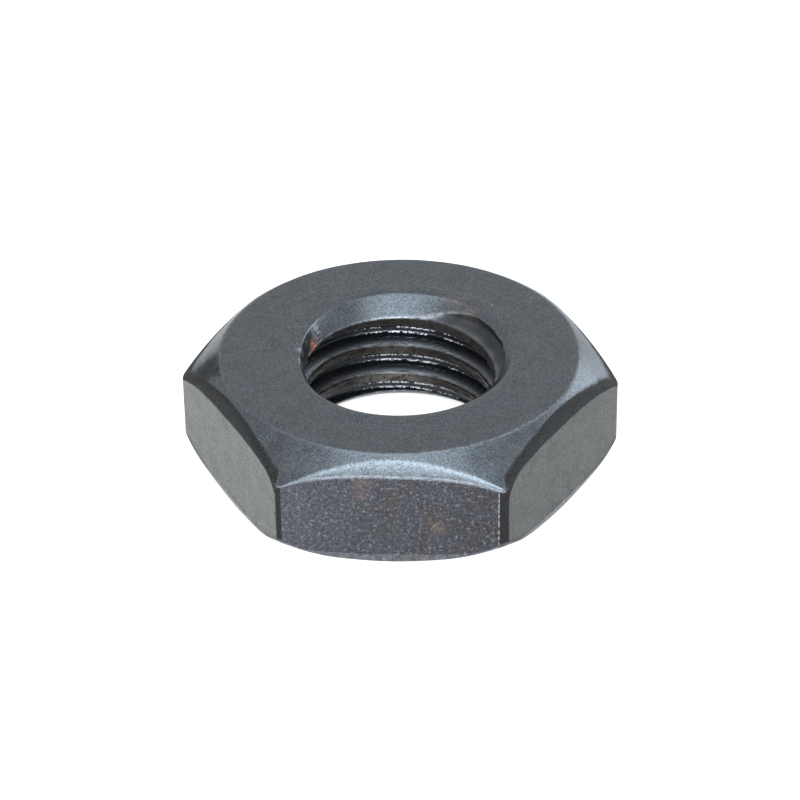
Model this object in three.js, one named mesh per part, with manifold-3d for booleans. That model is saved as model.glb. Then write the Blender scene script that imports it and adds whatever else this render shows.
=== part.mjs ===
// Thin hexagon nut, M10 x 1.5 right-hand thread, 17 mm across flats, chamfered on both faces.
// Millimetres, +Z along the thread axis, origin at the centre of the lower bearing face.
// Two flats face +Y and -Y, and two corners lie on the X axis.
import * as THREE from 'three';
import { mergeVertices } from 'three/addons/utils/BufferGeometryUtils.js';
import Module from 'manifold-3d';

const wasm = await Module();
wasm.setup();

const DEGREE = Math.PI / 180;

// Hexagon
const FLAT_COUNT = 6;
const ACROSS_FLATS = 17;
const THICKNESS = 5.5;
const CORNER_RADIUS = 0.55; // rounding of the six upright corners

// Each end of the nut: where the flat land stops, how the turned chamfer leans from its inner
// to its outer edge, and the crowned bevel between the chamfer and the flats. The bevel starts
// at bevelLean from upright. Its lower edge is bevelDepth below the face in the middle of a flat,
// and bevelSag deeper at a corner.
const TOP_END = {
  landRadius: 8.0,
  innerLean: 36.5 * DEGREE,
  outerLean: 45 * DEGREE,
  bevelRadius: 4.5,
  bevelLean: 12 * DEGREE,
  bevelDepth: 0.89,
  bevelSag: 0.47,
};
const BOTTOM_END = {
  landRadius: 8.2,
  innerLean: 22 * DEGREE,
  outerLean: 54 * DEGREE,
  bevelRadius: 2.5,
  bevelLean: 10 * DEGREE,
  bevelDepth: 0.55,
  bevelSag: 0.3,
};

// Thread
const PITCH = 1.5;
const MAJOR_RADIUS = 5.0;
const MINOR_RADIUS = 4.2;
const ROOT_RELIEF = 0.05; // the thread root is slightly rounded beyond the major radius
const FLANK_LEAN = 30 * DEGREE; // each flank of the 60 degree thread, from square to the axis
const THREAD_START = 147 * DEGREE; // heading at which a crest starts at the height of the lower face

// Countersinks, the same at both ends
const MOUTH_RADIUS = 5.15;
const LIP_RADIUS = 4.95;
const LIP_LEAN = 20 * DEGREE;
const CONE_LEAN = 45 * DEGREE;

// How finely the curved surfaces are divided
const TURN_STEPS = 72;
const CORNER_STEPS = 4;
const FLAT_STEPS = 10;
const CHAMFER_STEPS = 3;
const BEVEL_STEPS = 3;
const HALVINGS = 40;

const CUT_MARGIN = 1; // how far a cutting body reaches past what it cuts
const HALF_FLATS = ACROSS_FLATS / 2;
const HALF_SECTOR = Math.PI / FLAT_COUNT;
const HALF_CORNERS = HALF_FLATS / Math.cos(HALF_SECTOR); // to the sharp corner, before rounding
const HALF_SIDE = HALF_FLATS * Math.tan(HALF_SECTOR);
const CORNER_CENTRE = HALF_CORNERS - CORNER_RADIUS / Math.cos(HALF_SECTOR);
const SHORTEST_STRIP = 0.15; // least height of flat below the chamfer's edge

const blackOxide = new THREE.MeshStandardMaterial({
  name: 'black_oxide_steel',
  color: 0x3b4046,
  roughness: 0.45,
  metalness: 0.7,
  flatShading: true,
});

function toSolid(geometry) {
  const bare = geometry.clone();
  bare.deleteAttribute('normal');
  bare.deleteAttribute('uv');
  const welded = mergeVertices(bare, 1e-5);
  return new wasm.Manifold(new wasm.Mesh({
    numProp: 3,
    vertProperties: new Float32Array(welded.attributes.position.array),
    triVerts: new Uint32Array(welded.index.array),
  }));
}

function toGeometry(solid) {
  const mesh = solid.getMesh();
  const geometry = new THREE.BufferGeometry();
  geometry.setAttribute('position', new THREE.BufferAttribute(mesh.vertProperties, mesh.numProp));
  geometry.setIndex(new THREE.BufferAttribute(mesh.triVerts, 1));
  return geometry;
}

// A profile of (radius, height) points turned about the Z axis.
function turned(profile) {
  const geometry = new THREE.LatheGeometry(profile, TURN_STEPS);
  geometry.rotateX(Math.PI / 2);
  return toSolid(geometry);
}

// Radius of one end's crowned chamfer at a given drop below its face.
function chamferRadius(end, drop) {
  const spread = Math.sin(end.outerLean) - Math.sin(end.innerLean);
  const crown = (HALF_CORNERS - end.landRadius) / spread;
  const lean = Math.acos(Math.cos(end.innerLean) - drop / crown);
  return end.landRadius + crown * (Math.sin(lean) - Math.sin(end.innerLean));
}

// Angle between a heading and the nearest corner.
function angleFromCorner(heading) {
  return heading - 2 * HALF_SECTOR * Math.round(heading / (2 * HALF_SECTOR));
}

// Depth of the bevel's lower edge at a heading.
function bevelDepth(end, heading) {
  const alongSide = HALF_FLATS * Math.tan(HALF_SECTOR - Math.abs(angleFromCorner(heading)));
  return end.bevelDepth + end.bevelSag * (alongSide / HALF_SIDE) ** 2;
}

// Radius of the upright side at a heading, with its bevel and its rounded corners.
function sideRadius(end, heading, drop) {
  const intoBevel = Math.max(bevelDepth(end, heading) - drop, 0);
  const lean = Math.asin(Math.sin(end.bevelLean) + intoBevel / end.bevelRadius);
  const inset = intoBevel > 0 ? end.bevelRadius * (Math.cos(end.bevelLean) - Math.cos(lean)) : 0;
  const fromCorner = angleFromCorner(heading);
  const flat = (HALF_FLATS - inset) / Math.cos(HALF_SECTOR - Math.abs(fromCorner));
  const acrossCentre = CORNER_CENTRE * Math.sin(fromCorner);
  if (Math.abs(acrossCentre) >= CORNER_RADIUS) {
    return flat;
  }
  const alongCentre = CORNER_CENTRE * Math.cos(fromCorner);
  const corner = alongCentre + Math.sqrt(CORNER_RADIUS ** 2 - acrossCentre ** 2);
  return Math.min(flat, corner);
}

// Drop below the face at which the chamfer meets the side at a heading.
function edgeDrop(end, heading) {
  let low = 0;
  let high = THICKNESS / 2;
  for (let halving = 0; halving < HALVINGS; halving += 1) {
    const middle = (low + high) / 2;
    if (chamferRadius(end, middle) < sideRadius(end, heading, middle)) {
      low = middle;
    } else {
      high = middle;
    }
  }
  return low;
}

// (radius, drop) rows of one end at a heading: over the chamfer, then down the bevel.
function endRows(end, heading) {
  const edge = edgeDrop(end, heading);
  const straight = Math.max(bevelDepth(end, heading), edge + SHORTEST_STRIP);
  const rows = [];
  for (let step = 0; step <= CHAMFER_STEPS; step += 1) {
    const drop = edge * step / CHAMFER_STEPS;
    rows.push([chamferRadius(end, drop), drop]);
  }
  for (let step = 1; step <= BEVEL_STEPS; step += 1) {
    const drop = edge + (straight - edge) * step / BEVEL_STEPS;
    rows.push([sideRadius(end, heading, drop), drop]);
  }
  return rows;
}

// Headings of the blank's columns: close together round each corner, wider along each flat.
function columnHeadings() {
  const cornerReach = Math.atan2(
    CORNER_RADIUS * Math.sin(HALF_SECTOR),
    CORNER_CENTRE + CORNER_RADIUS * Math.cos(HALF_SECTOR),
  );
  const flatReach = 2 * (HALF_SECTOR - cornerReach);
  const headings = [];
  for (let corner = 0; corner < FLAT_COUNT; corner += 1) {
    const heading = 2 * HALF_SECTOR * corner;
    for (let step = 0; step < CORNER_STEPS; step += 1) {
      headings.push(heading - cornerReach + 2 * cornerReach * step / CORNER_STEPS);
    }
    for (let step = 0; step < FLAT_STEPS; step += 1) {
      headings.push(heading + cornerReach + flatReach * step / FLAT_STEPS);
    }
  }
  return headings;
}

function soup(positions) {
  const geometry = new THREE.BufferGeometry();
  geometry.setAttribute('position', new THREE.Float32BufferAttribute(positions, 3));
  return toSolid(geometry);
}

// The nut before it is drilled and tapped: one column of rows at every heading, from the
// lower land to the upper land, closed by a flat fan on each face.
function blank() {
  const columns = columnHeadings().map((heading) => {
    const lower = endRows(BOTTOM_END, heading);
    const upper = endRows(TOP_END, heading).map(([radius, drop]) => [radius, THICKNESS - drop]);
    return [...lower, ...upper.reverse()].map(
      ([radius, height]) => [radius * Math.cos(heading), radius * Math.sin(heading), height],
    );
  });
  const positions = [];
  columns.forEach((left, index) => {
    const right = columns[(index + 1) % columns.length];
    for (let row = 0; row < left.length - 1; row += 1) {
      positions.push(...left[row], ...right[row], ...right[row + 1]);
      positions.push(...left[row], ...right[row + 1], ...left[row + 1]);
    }
    positions.push(0, 0, 0, ...right[0], ...left[0]);
    positions.push(0, 0, THICKNESS, ...left.at(-1), ...right.at(-1));
  });
  return soup(positions);
}

// One turn of the thread as (height, radius) rows, starting where the nut's crest starts.
function threadRows() {
  const flankHeight = (MAJOR_RADIUS - MINOR_RADIUS) * Math.tan(FLANK_LEAN);
  const rootHeight = PITCH / 8;
  const crestHeight = PITCH - rootHeight - 2 * flankHeight;
  const rootStart = crestHeight + flankHeight;
  return [
    [0, MINOR_RADIUS],
    [crestHeight, MINOR_RADIUS],
    [rootStart, MAJOR_RADIUS],
    [rootStart + rootHeight / 2, MAJOR_RADIUS + ROOT_RELIEF],
    [rootStart + rootHeight, MAJOR_RADIUS],
  ];
}

// The body that the thread leaves empty: rows that climb one pitch per turn, closed by a fan
// to the axis at each end. The last column of a turn is the first column one turn higher.
function threadCutter() {
  const rows = threadRows();
  const turns = Math.ceil((THICKNESS + 2 * CUT_MARGIN) / PITCH) + 1;
  const rowCount = turns * rows.length;
  const baseHeight = -2 * PITCH;
  const positions = [];
  const place = (column, row) => {
    const angle = THREAD_START + 2 * Math.PI * column / TURN_STEPS;
    const [height, radius] = rows[row % rows.length];
    const climb = PITCH * (column / TURN_STEPS + Math.floor(row / rows.length));
    return [radius * Math.cos(angle), radius * Math.sin(angle), baseHeight + climb + height];
  };
  const triangle = (a, b, c) => positions.push(...a, ...b, ...c);
  for (let column = 0; column < TURN_STEPS; column += 1) {
    for (let row = 0; row < rowCount; row += 1) {
      const lowLeft = place(column, row);
      const lowRight = place(column + 1, row);
      const highLeft = place(column, row + 1);
      const highRight = place(column + 1, row + 1);
      triangle(lowLeft, lowRight, highRight);
      triangle(lowLeft, highRight, highLeft);
    }
  }
  const lowAxis = [0, 0, baseHeight + PITCH / 2];
  const highAxis = [0, 0, baseHeight + PITCH / 2 + turns * PITCH];
  for (let column = 0; column < TURN_STEPS; column += 1) {
    triangle(lowAxis, place(column + 1, 0), place(column, 0));
    triangle(highAxis, place(column, rowCount), place(column + 1, rowCount));
  }
  for (let row = 0; row < rows.length; row += 1) {
    triangle(lowAxis, place(0, row), place(0, row + 1));
    triangle(highAxis, place(0, rowCount + row + 1), place(0, rowCount + row));
  }
  return soup(positions);
}

// The countersink at one face: a shallow lip, then a cone that ends inside the minor radius.
// "outward" is +1 at the top and -1 at the bottom.
function countersink(faceHeight, outward) {
  const lipDepth = (MOUTH_RADIUS - LIP_RADIUS) * Math.tan(LIP_LEAN);
  const coneDepth = LIP_RADIUS * Math.tan(CONE_LEAN);
  const profile = [
    new THREE.Vector2(0, faceHeight - outward * (lipDepth + coneDepth)),
    new THREE.Vector2(LIP_RADIUS, faceHeight - outward * lipDepth),
    new THREE.Vector2(MOUTH_RADIUS + CUT_MARGIN, faceHeight + outward * CUT_MARGIN * Math.tan(LIP_LEAN)),
    new THREE.Vector2(0, faceHeight + outward * CUT_MARGIN),
  ];
  return turned(outward > 0 ? profile : profile.reverse());
}

function hexNut() {
  const body = blank()
    .subtract(threadCutter())
    .subtract(countersink(THICKNESS, 1))
    .subtract(countersink(0, -1));
  const mesh = new THREE.Mesh(toGeometry(body), blackOxide);
  mesh.name = 'hex_nut';
  return mesh;
}

const part = new THREE.Group();
part.name = 'hex_nut_assembly';
part.add(hexNut());

export default part;
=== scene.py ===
"""Thin hex nut in black oxide steel, standing on a pale studio floor.

The fine mesh is one closed grid: every column is the nut's outline at one heading, up the outside, over the
upper face and back down through the threaded bore. Lengths are in millimetres until the mesh is made.
"""
import math

import bpy
import numpy as np
from mathutils import Matrix, Vector, noise


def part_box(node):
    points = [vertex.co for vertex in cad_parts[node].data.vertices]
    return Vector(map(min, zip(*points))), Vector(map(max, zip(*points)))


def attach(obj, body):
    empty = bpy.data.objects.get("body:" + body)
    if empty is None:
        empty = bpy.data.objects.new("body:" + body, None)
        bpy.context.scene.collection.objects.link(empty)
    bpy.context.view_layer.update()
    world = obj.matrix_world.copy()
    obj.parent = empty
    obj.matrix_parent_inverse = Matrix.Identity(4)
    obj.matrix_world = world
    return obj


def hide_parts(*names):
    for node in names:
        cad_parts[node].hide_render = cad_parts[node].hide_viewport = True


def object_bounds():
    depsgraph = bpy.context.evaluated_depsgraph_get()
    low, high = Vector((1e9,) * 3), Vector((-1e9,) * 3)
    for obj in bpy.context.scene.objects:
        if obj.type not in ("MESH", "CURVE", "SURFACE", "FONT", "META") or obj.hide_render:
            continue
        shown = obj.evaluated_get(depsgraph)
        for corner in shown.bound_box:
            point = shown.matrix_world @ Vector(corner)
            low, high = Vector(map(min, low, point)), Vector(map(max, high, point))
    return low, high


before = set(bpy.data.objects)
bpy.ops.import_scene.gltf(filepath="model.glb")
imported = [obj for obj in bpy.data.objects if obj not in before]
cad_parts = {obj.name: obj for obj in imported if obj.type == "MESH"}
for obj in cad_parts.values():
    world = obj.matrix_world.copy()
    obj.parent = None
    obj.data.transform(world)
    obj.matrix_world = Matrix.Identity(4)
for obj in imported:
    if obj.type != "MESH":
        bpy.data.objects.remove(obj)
cad_low, cad_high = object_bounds()
node_low, node_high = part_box("hex_nut")

MM = 0.001

# Sizes that come from the frame
HEIGHT = (node_high[2] - node_low[2]) / MM
HALF_FLATS = node_high[1] / MM
CORNER_REACH = node_high[0] / MM

# The hexagon, and how far its upright corners are rounded
FLAT_COUNT = 6
HALF_SECTOR = math.pi / FLAT_COUNT
SHARP_REACH = HALF_FLATS / math.cos(HALF_SECTOR)
CORNER_RADIUS = (SHARP_REACH - CORNER_REACH) / (1 / math.cos(HALF_SECTOR) - 1)
CORNER_CENTRE = SHARP_REACH - CORNER_RADIUS / math.cos(HALF_SECTOR)
HALF_SIDE = HALF_FLATS * math.tan(HALF_SECTOR)
HALF_CORNER = math.atan2(  # half the angle that one rounded corner takes up, seen from the axis
    CORNER_RADIUS * math.sin(HALF_SECTOR),
    CORNER_CENTRE + CORNER_RADIUS * math.cos(HALF_SECTOR),
)

# Heading of the front flat, and where its own settings fade out, in halves of a flat from its middle
FRONT = -math.pi / 2
FRONT_FADE = (0.97, 1.06)

# Each end: the radius of the flat land, the turned chamfer's lean at its inner and outer edge, and the
# crowned bevel between the chamfer and the flats. The bevel has its crown's radius, its lean where it meets
# the flat, its depth below the face in the middle of a flat, and how much deeper it sags at a corner.
# The front flat's bevel is deeper by front_extra, and by front_tilt more at its right-hand end.
# Every bevel has to stay outside the land: where no chamfer is left between them, the mesh breaks.
TOP_END = {
    "land": 8.0,
    "inner_lean": math.radians(36.5),
    "outer_lean": math.radians(45),
    "bevel_radius": 4.5,
    "bevel_lean": math.radians(12),
    "bevel_depth": 0.89,
    "bevel_sag": 0.66,
    "front_extra": 0.10,
    "front_tilt": 0.06,
}
BOTTOM_END = {
    "land": 8.2,
    "inner_lean": math.radians(22),
    "outer_lean": math.radians(54),
    "bevel_radius": 2.5,
    "bevel_lean": math.radians(10),
    "bevel_depth": 0.55,
    "bevel_sag": 0.38,
    "front_extra": 0.0,
    "front_tilt": 0.0,
}
LEAST_BEVEL = 0.06  # the narrowest that a bevel gets, and how smoothly it gets there
BEVEL_BLEND = 0.06

# The thread, M10 x 1.5, right-handed
PITCH = 1.5
MAJOR_RADIUS = 4.85  # chosen, where the standard thread has 5.0
MINOR_RADIUS = 4.2
ROOT_RELIEF = 0.03
FLANK_LEAN = math.radians(30)
CREST = 0.39
FLANK = (MAJOR_RADIUS - MINOR_RADIUS) * math.tan(FLANK_LEAN)
THREAD_START = math.radians(147)
RUN_OUT_TURN = 3  # the turn of the helix, and the headings, over which the thread fades into the countersink
RUN_OUT = (math.radians(44), math.radians(86))
THREAD_SOFTNESS = 0.035  # how far crests and roots are blurred along the axis
BLUR_STEPS = 7

# The countersink at each end
MOUTH_RADIUS = 5.15
LIP_RADIUS = 4.95
LIP_LEAN = math.radians(20)
CONE_LEAN = math.radians(45)
SINK_FOOT = 0.2  # how far inside the crests the cone is carried on
SINK_SOFTNESS = 0.03  # how far the countersink and the thread blend into each other
JOIN_RADIUS = 5.7  # where the bore's rows meet the flat land
NARROW_SIDE = math.radians(178)  # the upper countersink is narrower round this heading
NARROW_WIDTH = math.radians(44)
NARROWING = 0.78

# Mesh density
CORNER_STEPS = 10
FLAT_STEPS = 40
FILLET_STEPS = 5
LARGEST_CUT = 0.4  # the largest share of a stretch that a fillet takes
CURVE_STEPS = 16
LIP_STEPS = 26
LIP_ROWS_DEPTH = 0.45  # how far below each face the lip's close rows go
THREAD_STEPS = 176
MEASURE_STEPS = 9
HALVINGS = 40


def column_headings():
    """Headings of the mesh's columns: close together round each corner, wider along each flat."""
    corner = np.linspace(-HALF_CORNER, HALF_CORNER, CORNER_STEPS, endpoint=False)
    flat = np.linspace(HALF_CORNER, 2 * HALF_SECTOR - HALF_CORNER, FLAT_STEPS, endpoint=False)
    sector = np.concatenate([corner, flat])
    return np.concatenate([sector + 2 * HALF_SECTOR * index for index in range(FLAT_COUNT)])


def chamfer_radius(end, drop):
    """Radius of one end's crowned chamfer at a drop below its face."""
    spread = math.sin(end["outer_lean"]) - math.sin(end["inner_lean"])
    crown = (SHARP_REACH - end["land"]) / spread
    lean = np.arccos(np.clip(math.cos(end["inner_lean"]) - drop / crown, -1, 1))
    return end["land"] + crown * (np.sin(lean) - math.sin(end["inner_lean"]))


def angle_from_corner(heading):
    """Angle between each heading and its nearest corner."""
    return heading - 2 * HALF_SECTOR * np.round(heading / (2 * HALF_SECTOR))


def along_flat(heading):
    """How far each heading is from the middle of its flat: 0 there and 1 at a corner."""
    return np.tan(HALF_SECTOR - np.abs(angle_from_corner(heading))) / math.tan(HALF_SECTOR)


def turn_from(centre, heading):
    """Angle between each heading and a centre, at most half a turn."""
    return np.abs(np.angle(np.exp(1j * (heading - centre))))


def curve(a, b, c, t):
    """The point at t on a quadratic curve that leaves a towards b and ends at c."""
    return (1 - t) ** 2 * a + 2 * t * (1 - t) * b + t**2 * c


def step_down(value, start, stop):
    """1 up to start, falling smoothly to 0 at stop."""
    t = np.clip((value - start) / (stop - start), 0, 1)
    return 1 - t * t * (3 - 2 * t)


def near(distance, width):
    """1 on a line, falling off over a width."""
    return np.exp(-((distance / width) ** 2))


def front_share(heading):
    """1 over the front flat, 0 over the others."""
    return step_down(turn_from(FRONT, heading) / HALF_SECTOR, *FRONT_FADE)


def bevel_depth(end, heading):
    """Depth of the bevel's lower edge below its face."""
    tilt = end["front_tilt"] * np.cos(heading) / math.sin(HALF_SECTOR)
    extra = (end["front_extra"] + tilt) * front_share(heading)
    return end["bevel_depth"] + end["bevel_sag"] * along_flat(heading) ** 3 + extra


def side_radius(end, heading, drop):
    """Radius of the upright side, with its bevel and its rounded corners."""
    into_bevel = np.maximum(bevel_depth(end, heading) - drop, 0)
    lean = np.arcsin(math.sin(end["bevel_lean"]) + into_bevel / end["bevel_radius"])
    crown = end["bevel_radius"] * (math.cos(end["bevel_lean"]) - np.cos(lean))
    inset = np.where(into_bevel > 0, crown, 0)
    from_corner = angle_from_corner(heading)
    flat = (HALF_FLATS - inset) / np.cos(HALF_SECTOR - np.abs(from_corner))
    across = CORNER_CENTRE * np.sin(from_corner)
    rounded = np.abs(from_corner) < HALF_CORNER
    depth = np.sqrt(np.where(rounded, CORNER_RADIUS**2 - across**2, 0))
    corner = np.where(rounded, CORNER_CENTRE * np.cos(from_corner) + depth, SHARP_REACH)
    return np.minimum(flat, corner)


def edge_drop(end, heading):
    """Drop below the face at which the chamfer meets the side."""
    low = np.zeros_like(heading)
    high = np.full_like(heading, HEIGHT / 2)
    for _ in range(HALVINGS):
        middle = (low + high) / 2
        on_chamfer = chamfer_radius(end, middle) < side_radius(end, heading, middle)
        low = np.where(on_chamfer, middle, low)
        high = np.where(on_chamfer, high, middle)
    return low


def end_pieces(end, heading):
    """The land, chamfer and bevel of one end, each as a function of 0 to 1 giving (radius, drop)."""
    edge = edge_drop(end, heading)
    spare = bevel_depth(end, heading) - edge - LEAST_BEVEL
    straight = edge + LEAST_BEVEL + (spare + np.sqrt(spare**2 + BEVEL_BLEND**2)) / 2

    def land(t):
        return np.full_like(heading, JOIN_RADIUS + (end["land"] - JOIN_RADIUS) * t), np.zeros_like(heading)

    def chamfer(t):
        return chamfer_radius(end, edge * t), edge * t

    def bevel(t):
        drop = edge + (straight - edge) * t
        return side_radius(end, heading, drop), drop

    return land, chamfer, bevel, straight


def outer_pieces(heading):
    """Every stretch of the outside from the lower join to the upper join, giving (radius, height)."""
    low_land, low_chamfer, low_bevel, low_straight = end_pieces(BOTTOM_END, heading)
    top_land, top_chamfer, top_bevel, top_straight = end_pieces(TOP_END, heading)

    def flat(t):
        height = low_straight + (HEIGHT - top_straight - low_straight) * t
        return side_radius(TOP_END, heading, np.full_like(heading, HEIGHT / 2)), height

    def from_top(piece):
        def flipped(t):
            radius, drop = piece(1 - t)
            return radius, HEIGHT - drop

        return flipped

    # each stretch with its number of rows, and the length of the fillet that leads into the next one
    return [
        (low_land, 4, 0.30),
        (low_chamfer, 9, 0.14),
        (low_bevel, 7, 0.10),
        (flat, 12, 0.10),
        (from_top(top_bevel), 9, 0.16),
        (from_top(top_chamfer), 14, 0.10),
        (from_top(top_land), 8, 0.0),
    ]


def measure(piece):
    """Rough length of a stretch at every heading."""
    points = np.array([piece(t) for t in np.linspace(0, 1, MEASURE_STEPS)])
    return np.sqrt((np.diff(points, axis=0) ** 2).sum(axis=1)).sum(axis=0)


def outer_rows(heading):
    """Rows of (radius, height) over the outside, with the creases between stretches rounded off."""
    pieces = outer_pieces(heading)
    lengths = [measure(piece) for piece, _, _ in pieces]
    rows = []
    creases = []
    start_cut = np.zeros_like(heading)
    for index, (piece, count, fillet) in enumerate(pieces):
        last = index == len(pieces) - 1
        room = lengths[index] if last else np.minimum(lengths[index], lengths[index + 1])
        cut = np.minimum(fillet, LARGEST_CUT * room)
        first = start_cut / lengths[index]
        stop = 1 - cut / lengths[index]
        for step in np.linspace(0, 1, count):
            rows.append(piece(first + (stop - first) * step))
        if last:
            break
        following = pieces[index + 1][0]
        before = rows[-1]
        crease = piece(np.ones_like(heading))
        after = following(cut / lengths[index + 1])
        creases.append(len(rows) + FILLET_STEPS // 2)
        for step in range(1, FILLET_STEPS + 1):
            t = step / (FILLET_STEPS + 1)
            rows.append(tuple(curve(a, b, c, t) for a, b, c in zip(before, crease, after)))
        start_cut = cut
    return rows, creases


def thread_rise(heading, height):
    """Height above the lower edge of the crest where the helix starts."""
    return height - PITCH * (heading - THREAD_START) / (2 * math.pi)


def thread_turn(heading, height):
    """Number of whole turns up the helix."""
    return np.floor(thread_rise(heading, height) / PITCH)


def thread_climb(heading, height):
    """Height above the lower edge of the crest below, from 0 to one pitch."""
    return np.mod(thread_rise(heading, height), PITCH)


def thread_radius(heading, height):
    """Radius of the helical thread, slightly blurred so that crests and roots are not knife-sharp."""
    root = MAJOR_RADIUS + ROOT_RELIEF
    places = [0, CREST, CREST + FLANK, (CREST + PITCH) / 2, PITCH - FLANK, PITCH]
    radii = [MINOR_RADIUS, MINOR_RADIUS, MAJOR_RADIUS, root, MAJOR_RADIUS, MINOR_RADIUS]
    climb = thread_climb(heading, height)
    blurred = 0
    for offset in np.linspace(-THREAD_SOFTNESS, THREAD_SOFTNESS, BLUR_STEPS):
        blurred = blurred + np.interp(np.mod(climb + offset, PITCH), places, radii) / BLUR_STEPS
    past_start = heading + 2 * math.pi * (thread_turn(heading, height) - RUN_OUT_TURN)
    depth = np.interp(past_start, RUN_OUT, (1, 0))
    return MINOR_RADIUS + (blurred - MINOR_RADIUS) * depth


def rounded_chain(points):
    """Points along a chain of straight lines whose inner corners are rounded by quadratic curves."""
    points = np.array(points, dtype=float)
    middles = (points[:-1] + points[1:]) / 2
    t = np.linspace(0, 1, CURVE_STEPS)[:, None]
    corners = [curve(*corner, t) for corner in zip(middles[:-1], points[1:-1], middles[1:])]
    return np.concatenate([points[:1], *corners, points[-1:]])


def sink_profile():
    """The countersink as (radius, drop) from the land to inside the crests, with a soft lip."""
    lip_drop = (MOUTH_RADIUS - LIP_RADIUS) * math.tan(LIP_LEAN)
    foot_radius = MINOR_RADIUS - SINK_FOOT
    cone_drop = (LIP_RADIUS - foot_radius) * math.tan(CONE_LEAN)
    return rounded_chain([
        (JOIN_RADIUS, 0),
        (MOUTH_RADIUS, 0),
        (LIP_RADIUS, lip_drop),
        (foot_radius, lip_drop + cone_drop),
    ])


def sink_radius(height):
    """Radius of the countersinks at a height, before the upper one is narrowed."""
    radius, drop = sink_profile().T
    return np.maximum(np.interp(HEIGHT - height, drop, radius), np.interp(height, drop, radius))


def bore_rows(heading):
    """Rows of (radius, height) from the upper face down through the thread to the lower face."""
    radius, drop = sink_profile().T
    along = np.concatenate([[0], np.cumsum(np.hypot(np.diff(radius), np.diff(drop)))])
    lip_end = np.interp(LIP_ROWS_DEPTH, drop, along)
    steps = np.linspace(0, lip_end, LIP_STEPS + 1)[1:]
    lip_drops = np.interp(steps, along, drop)
    lip_radii = np.interp(steps, along, radius)
    middle = np.linspace(lip_drops[-1], HEIGHT - lip_drops[-1], THREAD_STEPS)[1:-1]
    narrowing = NARROWING * near(turn_from(NARROW_SIDE, heading), NARROW_WIDTH)

    def row(sink, height):
        heights = np.full_like(heading, height)
        thread = thread_radius(heading, heights)
        if height > HEIGHT / 2 and MINOR_RADIUS < sink < JOIN_RADIUS:
            share = min(1, (JOIN_RADIUS - sink) / (JOIN_RADIUS - MOUTH_RADIUS))
            sink = sink - (sink - MINOR_RADIUS) * narrowing * share
        gap = np.clip(0.5 + 0.5 * (thread - sink) / SINK_SOFTNESS, 0, 1)
        return sink + (thread - sink) * gap + SINK_SOFTNESS * gap * (1 - gap), heights

    upper = [row(sink, HEIGHT - fall) for sink, fall in zip(lip_radii, lip_drops)]
    threaded = [row(sink_radius(height), height) for height in middle[::-1]]
    lower = [row(sink, fall) for sink, fall in zip(lip_radii[::-1], lip_drops[::-1])]
    return upper + threaded + lower


# Surface: forged waviness over the outside, nicks along the worn edges and tears in the crests, each with
# its depth, its length and the offset of its noise
WAVE_DEPTH = 0.008
WAVE_LENGTH = 2.2
WAVE_OFFSET = 3.0
NICK_DEPTH = 0.030
NICK_LENGTH = 0.35
NICK_OFFSET = 17.0
NICK_BIAS = 0.1  # above 0, more than half of an edge is nicked
TEAR_DEPTH = 0.040
TEAR_LENGTH = 0.22
TEAR_OFFSET = 41.0

# The thread's masks
ON_THREAD = 0.01  # how near the thread's own shape the surface counts as thread
CREST_BAND = (0.08, 0.05)  # how far outside the minor radius crests end, and over what they fade
FLANK_HIGHLIGHT = (0.05, 0.08)  # painted highlight: height of the bright line above a crest's upper edge, and its width
GLINT_LINES = ((0.98, 0.05, 1.0), (0.75, 0.03, 1.0), (0.62, 0.03, 0.5))  # painted glints: height, width and strength of each line
# the painted glints are kept round the back of the bore
GLINT_HEADING = math.radians(84)
GLINT_WIDTH = math.radians(38)
FAINT_GLINT_DEPTH = 1.1  # down to this far below the upper face the painted glints are fainter
GLINT_FADE = 0.8
RUN_OUT_SHADE = (0.42, 0.5, 0.12)  # painted shade in the run-out: over the whole run-out, more as a painted shadow under its upper edge, and that edge's width
MOUTH_WEAR = 0.5  # where the thread breaks out into the countersink
MOUTH_WIDTH = 0.05

# How worn the top of the front flat and the lower bevels are, and the widths of the worn lines
FRONT_WEAR = 0.45
FRONT_WEAR_WIDTH = 0.04
LOW_WEAR = 0.18
FACE_WEAR_WIDTH = 0.06

# Values at the six corners, counter-clockwise from +X: how much painted shade lies on the chamfer just before
# and just after each corner, how far that reaches along the chamfer, half the width of the painted dark strip
# up the corner itself, and how worn the edge of the upper face is
SHADE_BEFORE = (0.0, 0.2, 0.3, 0.0, 0.50, 0.0)
SHADE_AFTER = (0.0, 0.2, 0.3, 0.70, 0.15, 0.40)
SHADE_REACH = (1.5, 1.5, 1.5, 2.6, 1.6, 1.5)
NO_STRIP = -5.0  # a half width so far below 0 that nothing of the strip is left
STRIP_HALF = (NO_STRIP, NO_STRIP, NO_STRIP, NO_STRIP, 0.13, 0.245)
FACE_EDGE_WEAR = (0.45, 0.3, 0.2, 0.1, 0.1, 0.3)

# Painted shade on each flat: how light it is, counter-clockwise from the one after +X
FLAT_SHADES = (0.85, 1.0, 1.0, 0.97, 1.0, 0.60)

CORNER_BLEND = 0.7  # over which the painted shade before a corner gives way to the painted shade after it
SHADE_FADE = (0.22, 0.75)  # how far the painted shade reaches up the chamfer from the bevel: mid-flat, and how much more at a flat's ends
STRIP_ROUNDING = 0.8  # of the clean flat's upper corner beside a painted dark strip
LOW_LINE = 0.45  # how much painted shade lies along the lower edge of every flat but the front one, and over what width
LOW_LINE_WIDTH = 0.09


def fractal(point, length, offset):
    """Seeded noise between about -1 and 1 at a point in millimetres."""
    return noise.fractal(Vector(point) / length + Vector((offset, offset, offset)), 1.0, 2.0, 3)


def grid_normals(points):
    """Outward normals of a grid that closes on itself both ways. Axis 0 is the column, axis 1 the row."""
    along_column = np.roll(points, -1, axis=0) - np.roll(points, 1, axis=0)
    along_row = np.roll(points, -1, axis=1) - np.roll(points, 1, axis=1)
    normals = np.cross(along_column, along_row)
    return normals / np.linalg.norm(normals, axis=2, keepdims=True)


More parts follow.
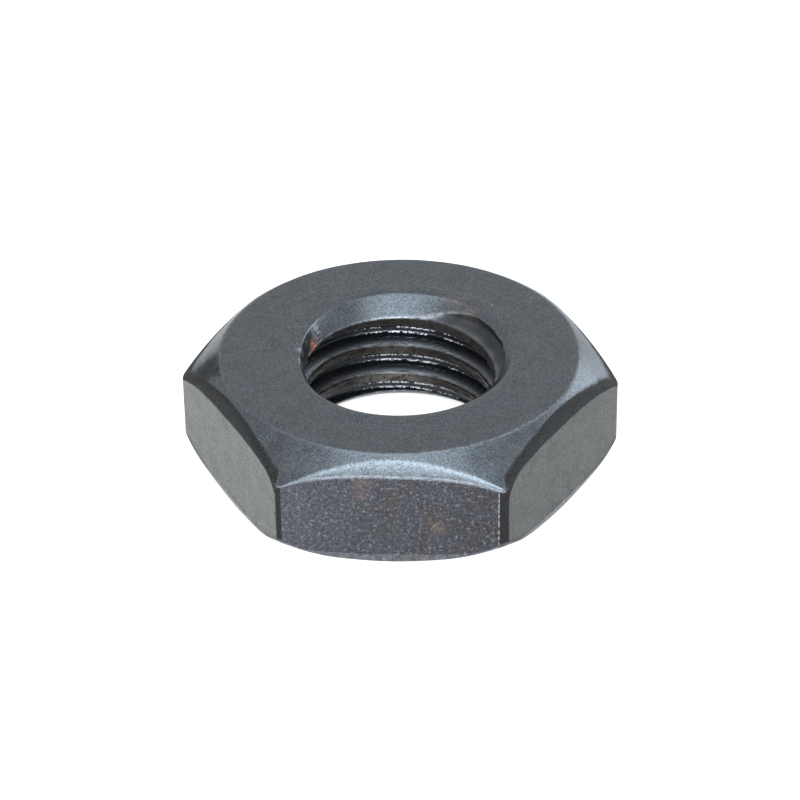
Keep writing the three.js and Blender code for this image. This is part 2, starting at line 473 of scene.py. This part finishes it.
def distance_along(points, row):
    """Distance of every row from one row, measured along each column."""
    steps = np.linalg.norm(np.diff(points, axis=1), axis=2)
    along = np.concatenate([np.zeros((len(points), 1)), np.cumsum(steps, axis=1)], axis=1)
    return np.abs(along - along[:, row:row + 1])


def around(values, heading):
    """Values given at the six corners, spread evenly round the nut."""
    place = np.mod(heading / (2 * HALF_SECTOR), FLAT_COUNT)
    return np.interp(place, range(FLAT_COUNT + 1), values + values[:1])


def at_corner(values, heading):
    """The value of each heading's nearest corner, as a column."""
    nearest = np.mod(np.round(heading / (2 * HALF_SECTOR)).astype(int), FLAT_COUNT)
    return np.array(values)[nearest][:, None]


def painted_shade_mask(heading, points, radius, creases):
    """Painted shade on every bevel but the front one, beside some corners, and thinly along the flats' lower
    edges.
    """
    _, _, low_flat, top_flat, top_bevel, top_edge = creases
    rows = np.arange(points.shape[1])
    from_corner = angle_from_corner(heading)[:, None] * radius
    not_front = 1 - front_share(heading)[:, None]

    on_bevel = (rows > top_flat) & (rows <= top_bevel)
    on_chamfer = (rows > top_bevel) & (rows <= top_edge)
    fade = (SHADE_FADE[0] + SHADE_FADE[1] * along_flat(heading) ** 2)[:, None]
    above = step_down(distance_along(points, top_bevel) / fade, 0.2, 1.1) * on_chamfer
    band = (on_bevel + above) * not_front
    before = at_corner(SHADE_BEFORE, heading)
    after = at_corner(SHADE_AFTER, heading)
    strength = after + (before - after) * step_down(from_corner, -CORNER_BLEND, CORNER_BLEND)
    reach = np.abs(from_corner) / at_corner(SHADE_REACH, heading)
    patch = strength * step_down(reach, 0.5, 1.6) * on_chamfer
    low_line = LOW_LINE * near(distance_along(points, low_flat), LOW_LINE_WIDTH) * not_front
    return np.maximum.reduce([band, patch, low_line])


def strip_gaps(heading, points, radius, top_flat):
    """Signed distances from the painted dark strip up a corner, and down from the flat's upper crease."""
    from_corner = np.abs(angle_from_corner(heading))[:, None] * radius
    past_strip = from_corner - at_corner(STRIP_HALF, heading)
    below = distance_along(points, top_flat) * np.where(np.arange(points.shape[1]) <= top_flat, 1, -1)
    return past_strip, below + STRIP_ROUNDING * front_share(heading)[:, None]


def worn_edges(heading, points, creases):
    """Wear along the top of the front flat, round the upper face and over the lower bevels."""
    low_edge, _, low_flat, top_flat, _, top_edge = creases
    rows = np.arange(points.shape[1])
    front_top = distance_along(points, top_flat + 1 + FILLET_STEPS // 2)
    on_low_bevel = np.broadcast_to((rows > low_edge) & (rows <= low_flat), front_top.shape)
    return np.maximum.reduce([
        FRONT_WEAR * near(front_top, FRONT_WEAR_WIDTH) * front_share(heading)[:, None],
        around(FACE_EDGE_WEAR, heading)[:, None] * near(distance_along(points, top_edge), FACE_WEAR_WIDTH),
        LOW_WEAR * on_low_bevel,
    ])


def thread_masks(heading, radius, height, in_bore):
    """The thread, its crests, painted flank highlights, painted glint lines and the painted shade in its
    run-out, and its worn mouth.
    """
    heading = heading[:, None]
    climb = thread_climb(heading, height)
    thread = thread_radius(heading, height)
    threaded = in_bore * (np.abs(radius - thread) < ON_THREAD)
    crest_end, crest_fade = CREST_BAND
    flank_height, flank_width = FLANK_HIGHLIGHT
    glint_strength = np.maximum.reduce([strength * near(climb - place, width) for place, width, strength in GLINT_LINES])
    glint_strength = glint_strength * (1 - GLINT_FADE * (height > HEIGHT - FAINT_GLINT_DEPTH)) * near(heading - GLINT_HEADING, GLINT_WIDTH)
    painted_shade, edge_shade, edge_width = RUN_OUT_SHADE
    run_out = threaded * (thread_turn(heading, height) == RUN_OUT_TURN) * (heading < RUN_OUT[1])
    # painted shadow under the upper edge of the run-out groove
    run_out_edge = near(climb - (PITCH - 0.5 * FLANK), edge_width)
    mouth = np.abs(radius - sink_radius(height)) + np.abs(radius - thread)
    return {
        "thread": threaded,
        "crest": threaded * np.clip((MINOR_RADIUS + crest_end - radius) / crest_fade, 0, 1),
        "flank_highlight": threaded * near(climb - CREST - flank_height, flank_width),
        "painted_glint": threaded * glint_strength,
        "run_out": run_out * (painted_shade + edge_shade * run_out_edge),
        "mouth": MOUTH_WEAR * near(mouth, MOUTH_WIDTH) * in_bore,
    }


def pitting(points, edge, crest, is_outer):
    """How far each point is sunk into the surface by waviness, nicks and tears."""
    depth = np.zeros(points.shape[:2])
    for index in np.ndindex(depth.shape):
        point = points[index]
        wave = WAVE_DEPTH * (1 + fractal(point, WAVE_LENGTH, WAVE_OFFSET))
        nick = NICK_DEPTH * edge[index] * max(fractal(point, NICK_LENGTH, NICK_OFFSET) + NICK_BIAS, 0)
        tear = TEAR_DEPTH * crest[index] * fractal(point, TEAR_LENGTH, TEAR_OFFSET)
        depth[index] = max(wave, 0) * is_outer[index[1]] + nick + tear
    return depth


def nut_grid():
    """The grid's points and its masks, each as (column, row)."""
    heading = column_headings()
    outer, creases = outer_rows(heading)
    rows = outer + bore_rows(heading)
    radius = np.array([row[0] for row in rows]).T
    height = np.array([row[1] for row in rows]).T
    x, y = radius * np.cos(heading)[:, None], radius * np.sin(heading)[:, None]
    points = np.stack([x, y, height], axis=2)

    low_edge, _, _, top_flat, _, _ = creases
    row = np.arange(len(rows))
    is_outer = np.where(row < len(outer), 1.0, 0.0)
    everywhere = np.ones_like(radius)
    flat_index = np.floor(np.mod(heading / (2 * HALF_SECTOR), FLAT_COUNT)).astype(int)
    edge = worn_edges(heading, points, creases)
    thread = thread_masks(heading, radius, height, 1 - is_outer)
    past_strip, below_crease = strip_gaps(heading, points, radius, top_flat)
    masks = {
        "past_strip": past_strip,
        "below_crease": below_crease,
        "edge": np.maximum(edge * is_outer, thread["mouth"]),
        "side": ((row > low_edge) & (row <= top_flat)) * everywhere,
        "front": front_share(heading)[:, None] * everywhere,
        # painted shade: each flat's lightness
        "tone": np.array(FLAT_SHADES)[flat_index][:, None] * everywhere,
        # painted shade: bevels, beside corners, the flats' lower edges and the thread's run-out
        "painted_shade": np.maximum(painted_shade_mask(heading, points, radius, creases), thread["run_out"]),
        "thread": thread["thread"],
        "crest": thread["crest"],
        "flank_highlight": thread["flank_highlight"],
        "painted_glint": thread["painted_glint"],
    }
    depth = pitting(points, edge, thread["crest"], is_outer)
    return points - grid_normals(points) * depth[:, :, None], masks


def make_nut():
    """The fine mesh, with one float attribute for each mask."""
    points, masks = nut_grid()
    columns, rows = points.shape[:2]
    index = np.arange(columns * rows).reshape(columns, rows)
    right = np.roll(index, -1, axis=0)
    quads = np.stack([index, right, np.roll(right, -1, axis=1), np.roll(index, -1, axis=1)], axis=2)
    mesh = bpy.data.meshes.new("nut_body")
    mesh.from_pydata((points.reshape(-1, 3) * MM).tolist(), [], quads.reshape(-1, 4).tolist())
    mesh.polygons.foreach_set("use_smooth", [True] * len(mesh.polygons))
    for name, values in masks.items():
        layer = mesh.attributes.new(name, "FLOAT", "POINT")
        layer.data.foreach_set("value", values.reshape(-1).astype(np.float32))
    mesh.update()
    nut = bpy.data.objects.new("nut_body", mesh)
    bpy.context.collection.objects.link(nut)
    return nut


class Nodes:
    """Short calls for building one material's node tree. Inputs may be numbers, colours or sockets."""

    def __init__(self, material):
        material.use_nodes = True
        self.tree = material.node_tree
        self.tree.nodes.clear()
        place = self.add("ShaderNodeTexCoord").outputs["Object"]
        scaled = self.add("ShaderNodeVectorMath", operation="SCALE")
        self.link(place, scaled.inputs[0])
        scaled.inputs["Scale"].default_value = 1 / MM
        self.place = scaled.outputs[0]

    def add(self, kind, **settings):
        node = self.tree.nodes.new(kind)
        for name, value in settings.items():
            setattr(node, name, value)
        return node

    def link(self, value, socket):
        if isinstance(value, bpy.types.NodeSocket):
            self.tree.links.new(value, socket)
        elif value is not None:
            socket.default_value = value

    def math(self, operation, a, b=None, c=None, clamp=False):
        node = self.add("ShaderNodeMath", operation=operation, use_clamp=clamp)
        for value, socket in zip((a, b, c), node.inputs):
            self.link(value, socket)
        return node.outputs[0]

    def ramp(self, value, low, high, to_low=0.0, to_high=1.0):
        """Smoothly maps value from low..high to to_low..to_high."""
        node = self.add("ShaderNodeMapRange", interpolation_type="SMOOTHSTEP")
        for item, socket in zip((value, low, high, to_low, to_high), node.inputs):
            self.link(item, socket)
        return node.outputs[0]

    def mix(self, factor, a, b, blend="MIX"):
        node = self.add("ShaderNodeMix", data_type="RGBA", blend_type=blend)
        self.link(factor, node.inputs["Factor"])
        self.link(a, node.inputs["A"])
        self.link(b, node.inputs["B"])
        return node.outputs["Result"]

    def noise(self, size, detail=3.0, roughness=0.55, distortion=0.0, stretch=(1, 1, 1)):
        """Noise whose features are about size millimetres across."""
        mapping = self.add("ShaderNodeMapping")
        self.link(self.place, mapping.inputs["Vector"])
        mapping.inputs["Scale"].default_value = stretch
        node = self.add("ShaderNodeTexNoise")
        self.link(mapping.outputs[0], node.inputs["Vector"])
        node.inputs["Scale"].default_value = 1 / size
        node.inputs["Detail"].default_value = detail
        node.inputs["Roughness"].default_value = roughness
        node.inputs["Distortion"].default_value = distortion
        return node.outputs["Fac"]

    def specks(self, spacing, radius, share):
        """1 inside small round specks, one to a cell of the given spacing, in a share of the cells."""
        cells = self.add("ShaderNodeTexVoronoi", feature="F1")
        self.link(self.place, cells.inputs["Vector"])
        cells.inputs["Scale"].default_value = 1 / spacing
        lucky = self.add("ShaderNodeTexWhiteNoise", noise_dimensions="3D")
        self.link(cells.outputs["Position"], lucky.inputs["Vector"])
        kept = self.math("LESS_THAN", lucky.outputs["Value"], share)
        size = self.math("MULTIPLY", lucky.outputs["Value"], radius / spacing / share)
        inside = self.math("LESS_THAN", cells.outputs["Distance"], size)
        return self.math("MULTIPLY", kept, inside)

    def attribute(self, name):
        return self.add("ShaderNodeAttribute", attribute_name=name).outputs["Fac"]

    def spot(self, centre, radius, place=None):
        """1 at a point in millimetres, falling to 0 at a radius."""
        node = self.add("ShaderNodeVectorMath", operation="DISTANCE")
        self.link(place or self.place, node.inputs[0])
        node.inputs[1].default_value = centre
        return self.ramp(node.outputs["Value"], 0.0, radius, 1.0, 0.0)

    def spots(self, places):
        """1 at the centre of every (centre, radius) place, falling to 0 at its radius."""
        mask = 0.0
        for centre, radius in places:
            mask = self.math("MAXIMUM", self.spot(centre, radius), mask)
        return mask

    def upright_line(self, x, y, radius):
        """1 on an upright line at a place in millimetres, falling to 0 at a radius."""
        flattened = self.add("ShaderNodeVectorMath", operation="MULTIPLY")
        self.link(self.place, flattened.inputs[0])
        flattened.inputs[1].default_value = (1, 1, 0)
        return self.spot((x, y, 0), radius, flattened.outputs[0])


# Colours of the steel, linear
OXIDE = (0.092, 0.106, 0.118, 1)
OXIDE_DARK = (0.077, 0.089, 0.099, 1)
SIDE_GREY = (0.100, 0.104, 0.100, 1)
SIDE_PURPLE = (0.053, 0.054, 0.063, 1)
SIDE_BROWN = (0.050, 0.046, 0.043, 1)
SIDE_BLUE = (0.080, 0.086, 0.105, 1)
SIDE_DARK = (0.028, 0.027, 0.030, 1)
GRAIN_LIGHT = (0.24, 0.25, 0.26, 1)
# bare steel on worn edges, and painted highlights on the countersink's lip
BARE_STEEL_AND_HIGHLIGHT = (0.42, 0.44, 0.47, 1)
THREAD_OILY = (0.043, 0.047, 0.053, 1)
CREST_BROWN = (0.026, 0.0235, 0.022, 1)
# partly torn steel, partly a painted reflection of the floor on the lowest crest at the back
CREST_TORN_AND_REFLECTION = (0.120, 0.115, 0.108, 1)
# painted highlight on the flanks just above the crests
FLANK_HIGHLIGHT_COLOUR = (0.130, 0.140, 0.155, 1)
# painted glints: white standing in for reflections of the lights
GLINT_WHITE = (0.80, 0.82, 0.84, 1)
# Painted shade: near-black colour for the bevels, chamfer patches, corner strips, lower edges and the
# thread's run-out
PAINTED_SHADE = (0.010, 0.0095, 0.009, 1)
RUST_ORANGE = (0.42, 0.130, 0.045, 1)
RUST_BROWN = (0.15, 0.085, 0.055, 1)
DUST = (0.33, 0.33, 0.31, 1)

# A bare line up the front flat's right-hand edge, just past where the rounded corner starts
WORN_LINE_X = HALF_SIDE - CORNER_RADIUS * math.tan(HALF_SECTOR) + 0.02
WORN_LINE_WIDTH = 0.055
WORN_LINE_STRENGTH = 0.45

BUMP_DEPTH = 0.009


def on_front(along, height):
    """A place on the front flat, in millimetres: along it from its middle, and up it."""
    return (along, -HALF_FLATS, height)


def in_bore(heading, radius, drop):
    """A place in the bore, in millimetres."""
    return (radius * math.cos(heading), radius * math.sin(heading), HEIGHT - drop)


def steel_colour(nodes, mottle, grain, coarse):
    """Colour of the blackened steel before rust and dust."""
    side = nodes.attribute("side")
    front = nodes.attribute("front")
    cloud = nodes.noise(1.1, detail=5, roughness=0.75)
    face = nodes.mix(nodes.ramp(mottle, 0.3, 0.7), OXIDE_DARK, OXIDE)
    front_tint = nodes.mix(nodes.ramp(cloud, 0.42, 0.70), SIDE_PURPLE, SIDE_BROWN)
    # each flat darkened by its painted shade
    grey = nodes.mix(1.0, SIDE_GREY, nodes.attribute("tone"), blend="MULTIPLY")
    bluer = nodes.math("MULTIPLY", nodes.spot(on_front(-HALF_SIDE, HEIGHT / 2), HALF_SIDE), 0.40)
    front_tint = nodes.mix(bluer, front_tint, SIDE_BLUE)
    darker = nodes.math("MULTIPLY", nodes.spot(on_front(HALF_SIDE, HEIGHT / 2), HALF_SIDE), 0.35)
    front_tint = nodes.mix(darker, front_tint, SIDE_DARK)
    flat = nodes.mix(front, grey, front_tint)
    colour = nodes.mix(side, face, flat)
    tone = nodes.ramp(grain, 0.25, 0.75, 0.55, 1.45)
    colour = nodes.mix(1.0, colour, tone, blend="MULTIPLY")
    darkest = nodes.ramp(side, 0, 1, 0.92, 0.78)
    lightest = nodes.ramp(side, 0, 1, 1.08, 1.22)
    colour = nodes.mix(1.0, colour, nodes.ramp(coarse, 0.3, 0.7, darkest, lightest), blend="MULTIPLY")
    on_rough_front = nodes.ramp(nodes.math("MULTIPLY", side, front), 0, 1, 0.06, 0.60)
    sparkle = nodes.math("MULTIPLY", nodes.ramp(coarse, 0.54, 0.74), on_rough_front)
    return nodes.mix(sparkle, colour, GRAIN_LIGHT)


def painted_strip_shade(nodes):
    """1 on the painted dark strips up the corners, which widen smoothly into the painted shade on the bevels.
    """
    squares = []
    for name in ("past_strip", "below_crease"):
        inside = nodes.math("SUBTRACT", STRIP_ROUNDING, nodes.attribute(name))
        inside = nodes.math("MAXIMUM", inside, 0.0)
        squares.append(nodes.math("MULTIPLY", inside, inside))
    square = nodes.math("ADD", *squares)
    clean = nodes.math("SUBTRACT", STRIP_ROUNDING, nodes.math("SQRT", square))
    return nodes.math("MULTIPLY", nodes.ramp(clean, -0.04, 0.05, 1.0, 0.0), nodes.attribute("side"))


def thread_colour(nodes, colour):
    """The oily thread with its brown crests, torn and lighter low at the back, and its painted glint
    highlights, and where the glints are.
    """
    thread = nodes.attribute("thread")
    colour = nodes.mix(thread, colour, THREAD_OILY)
    # painted highlight along the flanks above the crests
    colour = nodes.mix(nodes.attribute("flank_highlight"), colour, FLANK_HIGHLIGHT_COLOUR)
    # lowest crest at the back: partly torn, partly a painted reflection of the floor
    torn_and_reflection_patch = nodes.spot(in_bore(math.radians(96), MINOR_RADIUS, 4.05), 2.6)
    torn_and_reflection = nodes.math("MULTIPLY", torn_and_reflection_patch, nodes.ramp(nodes.noise(0.25, detail=4), 0.35, 0.55))
    crest_colour = nodes.mix(torn_and_reflection, CREST_BROWN, CREST_TORN_AND_REFLECTION)
    colour = nodes.mix(nodes.attribute("crest"), colour, crest_colour)
    # the painted glints broken into dots and patches
    glint_dots = nodes.ramp(nodes.noise(0.10, detail=2, roughness=0.7), 0.43, 0.53)
    glint_patches = nodes.ramp(nodes.noise(0.6, detail=2), 0.34, 0.46)
    painted_glint = nodes.math("MULTIPLY", nodes.attribute("painted_glint"), nodes.math("MULTIPLY", glint_dots, glint_patches))
    painted_glint = nodes.ramp(painted_glint, 0.25, 0.70)
    return nodes.mix(painted_glint, colour, GLINT_WHITE), painted_glint


def lip_highlight_mask(nodes):
    """Painted highlights: bright places on the lip of the countersink, from 0 to 1."""
    places = [
        (in_bore(math.radians(151), 4.40, 0.42), 0.50),
        (in_bore(math.radians(166), 4.35, 0.20), 0.35),
        (in_bore(math.radians(178), 4.38, 0.18), 0.40),
        (in_bore(math.radians(190), 4.40, 0.20), 0.40),
    ]
    return nodes.math("MULTIPLY", nodes.spots(places), nodes.ramp(nodes.noise(0.2, detail=3), 0.35, 0.55))


def rust_masks(nodes):
    """Brown staining and orange rust, each from 0 to 1."""
    brown_places = [
        (on_front(-1.20, 4.25), 0.65),
        (on_front(-1.25, 3.65), 0.55),
        (on_front(1.95, 2.0), 0.65),
        (in_bore(math.radians(62), 5.0, 0.1), 0.8),
        (in_bore(math.radians(50), 4.9, 0.2), 0.8),
    ]
    orange_places = [
        (in_bore(math.radians(159), 4.22, 0.80), 0.62),
        (in_bore(math.radians(165), 4.22, 1.00), 0.45),
    ]
    patchy = nodes.ramp(nodes.noise(0.11, detail=4, roughness=0.8), 0.40, 0.66)
    brown = nodes.math("MULTIPLY", nodes.math("MULTIPLY", nodes.spots(brown_places), patchy), 0.65)
    orange = nodes.math("MULTIPLY", nodes.spots(orange_places), nodes.ramp(patchy, 0, 1, 0.15, 1))
    return brown, orange


def painted_shade_cover(nodes, mottle, grain):
    """How thickly the painted shade covers the steel, from 0 to 1, with blotches and grain in it."""
    shaded = nodes.math("MAXIMUM", nodes.attribute("painted_shade"), painted_strip_shade(nodes))
    blotched = nodes.math("ADD", shaded, nodes.ramp(mottle, 0.2, 0.8, -0.16, 0.16))
    return nodes.math("MULTIPLY", nodes.ramp(blotched, 0.0, 0.8), nodes.ramp(grain, 0.3, 0.7, 1.0, 0.88))


def worn_and_highlight_mask(nodes):
    """Bare steel on the worn edges and up the front flat's right-hand edge, and painted highlights on the
    lip, from 0 to 1.
    """
    breaks = nodes.ramp(nodes.noise(0.25, detail=5, roughness=0.75), 0.30, 0.62)
    line = nodes.upright_line(WORN_LINE_X, -HALF_FLATS, WORN_LINE_WIDTH)
    line = nodes.math("MULTIPLY", line, nodes.ramp(nodes.noise(0.16, detail=3), 0.38, 0.56))
    line = nodes.math("MULTIPLY", line, WORN_LINE_STRENGTH)
    worn = nodes.math("MAXIMUM", nodes.math("MULTIPLY", nodes.attribute("edge"), breaks), line)
    return nodes.math("MAXIMUM", worn, lip_highlight_mask(nodes))


def dust_mask(nodes):
    """1 on specks of dust, which lie everywhere but in the thread."""
    dust = nodes.math("MAXIMUM", nodes.specks(0.7, 0.035, 0.30), nodes.specks(0.35, 0.018, 0.22))
    return nodes.math("MULTIPLY", dust, nodes.math("SUBTRACT", 1.0, nodes.attribute("thread")))


def roughness(nodes, mottle, painted_shade, dull):
    """Smoothest in the oily thread, rougher on the flats and crests, roughest under painted shade, rust and
    dust.
    """
    rough = nodes.ramp(mottle, 0.3, 0.7, 0.30, 0.36)
    rough = nodes.math("ADD", rough, nodes.math("MULTIPLY", nodes.attribute("side"), 0.10))
    rough = nodes.math("SUBTRACT", rough, nodes.math("MULTIPLY", nodes.attribute("thread"), 0.12))
    rough = nodes.math("ADD", rough, nodes.math("MULTIPLY", nodes.attribute("crest"), 0.10))
    rough = nodes.math("ADD", rough, nodes.math("MULTIPLY", painted_shade, 0.25))
    return nodes.math("ADD", rough, nodes.math("MULTIPLY", dull, 0.4), clamp=True)


def relief(nodes, grain, coarse):
    """Normal bumped by fine and coarse grain, and by tears along the thread."""
    side = nodes.attribute("side")
    fine_height = nodes.math("MULTIPLY", grain, nodes.ramp(side, 0, 1, 0.45, 0.8))
    coarse_height = nodes.math("MULTIPLY", coarse, nodes.ramp(side, 0, 1, 0.15, 1.4))
    tears = nodes.noise(0.10, distortion=0.8, stretch=(1, 1, 2.5))
    tear_height = nodes.math("MULTIPLY", tears, nodes.math("MULTIPLY", nodes.attribute("thread"), 1.6))
    height = nodes.math("ADD", nodes.math("ADD", fine_height, coarse_height), tear_height)
    bump = nodes.add("ShaderNodeBump")
    nodes.link(height, bump.inputs["Height"])
    bump.inputs["Distance"].default_value = BUMP_DEPTH * MM
    bump.inputs["Strength"].default_value = 1.0
    return bump.outputs[0]


def black_oxide():
    """Blackened steel: grained, rough on the flats, oily in the thread, worn and rusted in places, with
    painted shade, highlights and glints.
    """
    material = bpy.data.materials.new("black_oxide_steel")
    nodes = Nodes(material)
    mottle = nodes.noise(0.9, detail=4, roughness=0.6)
    grain = nodes.noise(0.075, detail=2, roughness=0.7)
    coarse = nodes.noise(0.17, detail=3, roughness=0.75, distortion=0.4)
    painted_shade = painted_shade_cover(nodes, mottle, grain)
    brown, orange = rust_masks(nodes)
    dust = dust_mask(nodes)

    colour, painted_glint = thread_colour(nodes, steel_colour(nodes, mottle, grain, coarse))
    # painted shade over the steel
    colour = nodes.mix(painted_shade, colour, PAINTED_SHADE)
    # bare steel on worn edges and painted highlights on the lip
    colour = nodes.mix(worn_and_highlight_mask(nodes), colour, BARE_STEEL_AND_HIGHLIGHT)
    colour = nodes.mix(brown, colour, RUST_BROWN)
    colour = nodes.mix(orange, colour, RUST_ORANGE)
    colour = nodes.mix(dust, colour, DUST)
    dull = nodes.math("MAXIMUM", nodes.math("MAXIMUM", brown, orange), dust)
    matte = nodes.math("MAXIMUM", nodes.math("MAXIMUM", dull, painted_shade), nodes.math("MULTIPLY", painted_glint, 0.7))

    shader = nodes.add("ShaderNodeBsdfPrincipled")
    nodes.link(colour, shader.inputs["Base Color"])
    nodes.link(nodes.ramp(matte, 0, 1, 0.95, 0.0), shader.inputs["Metallic"])
    nodes.link(nodes.ramp(painted_shade, 0, 1, 0.5, 0.06), shader.inputs["Specular IOR Level"])
    nodes.link(roughness(nodes, mottle, painted_shade, dull), shader.inputs["Roughness"])
    nodes.link(relief(nodes, grain, coarse), shader.inputs["Normal"])
    output = nodes.add("ShaderNodeOutputMaterial")
    nodes.link(shader.outputs[0], output.inputs["Surface"])
    return material


# Studio: a glowing pale floor, white surroundings and soft lights in front, overhead and behind
FLOOR_SIZE = 3.0
FLOOR_COLOUR = (0.5, 0.5, 0.5, 1)
FLOOR_GLOW = 0.80
WORLD_STRENGTH = 0.96
LIGHT_COLOUR = (0.93, 1.0, 1.09)
LIGHT_DISTANCE = 0.42
# each light's azimuth and elevation in degrees, its width and height, and its radiance
SOFTBOXES = {
    "front_softbox": (9, 22, 0.40, 0.33, 7.7),
    "top_softbox": (3, 74, 0.36, 0.42, 2.4),
    "back_softbox": (130, 17, 0.22, 0.22, 3.5),
}

# Camera: angles in degrees, with azimuth 0 looking along +Y. Distance in metres, lens and sensor in mm.
CAMERA_AZIMUTH = 2.99
CAMERA_ELEVATION = 32.54
CAMERA_ROLL = 0.78
CAMERA_DISTANCE = 0.1556
LENS = 157.8
SENSOR = 36.0
RISE_IN_FRAME = 0.060  # the upper face's centre stands this share of the frame above its middle


def view_direction(azimuth, elevation):
    """Unit vector from the nut towards a viewer."""
    a, e = math.radians(azimuth), math.radians(elevation)
    return Vector((math.sin(a) * math.cos(e), -math.cos(a) * math.cos(e), math.sin(e)))


def make_floor():
    mesh = bpy.data.meshes.new("floor")
    half = FLOOR_SIZE / 2
    corners = [(-half, -half, 0), (half, -half, 0), (half, half, 0), (-half, half, 0)]
    mesh.from_pydata(corners, [], [(0, 1, 2, 3)])
    floor = bpy.data.objects.new("floor", mesh)
    bpy.context.collection.objects.link(floor)
    material = bpy.data.materials.new("pale_floor")
    material.use_nodes = True
    shader = material.node_tree.nodes["Principled BSDF"]
    shader.inputs["Base Color"].default_value = FLOOR_COLOUR
    shader.inputs["Roughness"].default_value = 0.9
    shader.inputs["Specular IOR Level"].default_value = 0.0
    shader.inputs["Emission Color"].default_value = (1, 1, 1, 1)
    shader.inputs["Emission Strength"].default_value = FLOOR_GLOW
    mesh.materials.append(material)
    floor.location.z = cad_low[2]
    return floor


def make_world():
    world = bpy.data.worlds.new("studio")
    world.use_nodes = True
    background = world.node_tree.nodes["Background"]
    background.inputs["Color"].default_value = (1, 1, 1, 1)
    background.inputs["Strength"].default_value = WORLD_STRENGTH
    bpy.context.scene.world = world


def make_softbox(name, azimuth, elevation, width, height, radiance):
    light = bpy.data.lights.new(name, "AREA")
    light.shape = "RECTANGLE"
    light.size, light.size_y = width, height
    light.energy = radiance * math.pi * width * height
    light.color = LIGHT_COLOUR
    towards = view_direction(azimuth, elevation)
    lamp = bpy.data.objects.new(name, light)
    lamp.location = Vector((0, 0, HEIGHT * MM)) + towards * LIGHT_DISTANCE
    lamp.rotation_euler = towards.to_track_quat("Z", "Y").to_euler()
    lamp.visible_camera = False
    bpy.context.collection.objects.link(lamp)


def make_camera():
    camera = bpy.data.cameras.new("camera")
    camera.sensor_width = SENSOR
    camera.lens = LENS
    camera.clip_start, camera.clip_end = 0.01, 10
    towards = view_direction(CAMERA_AZIMUTH, CAMERA_ELEVATION)
    holder = bpy.data.objects.new("camera", camera)
    aim_down = Matrix.Rotation(-math.atan(RISE_IN_FRAME * SENSOR / LENS), 4, "X")
    roll = Matrix.Rotation(-math.radians(CAMERA_ROLL), 4, "Z")
    turn = towards.to_track_quat("Z", "Y").to_matrix().to_4x4()
    place = Matrix.Translation(Vector((0, 0, HEIGHT * MM)) + towards * CAMERA_DISTANCE)
    holder.matrix_world = place @ turn @ aim_down @ roll
    bpy.context.collection.objects.link(holder)
    bpy.context.scene.camera = holder


nut = make_nut()
nut.data.materials.append(black_oxide())
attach(nut, "root")
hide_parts("hex_nut")

make_floor()
make_world()
for light_name, settings in SOFTBOXES.items():
    make_softbox(light_name, *settings)
make_camera()
bpy.context.scene.view_settings.view_transform = "Standard"
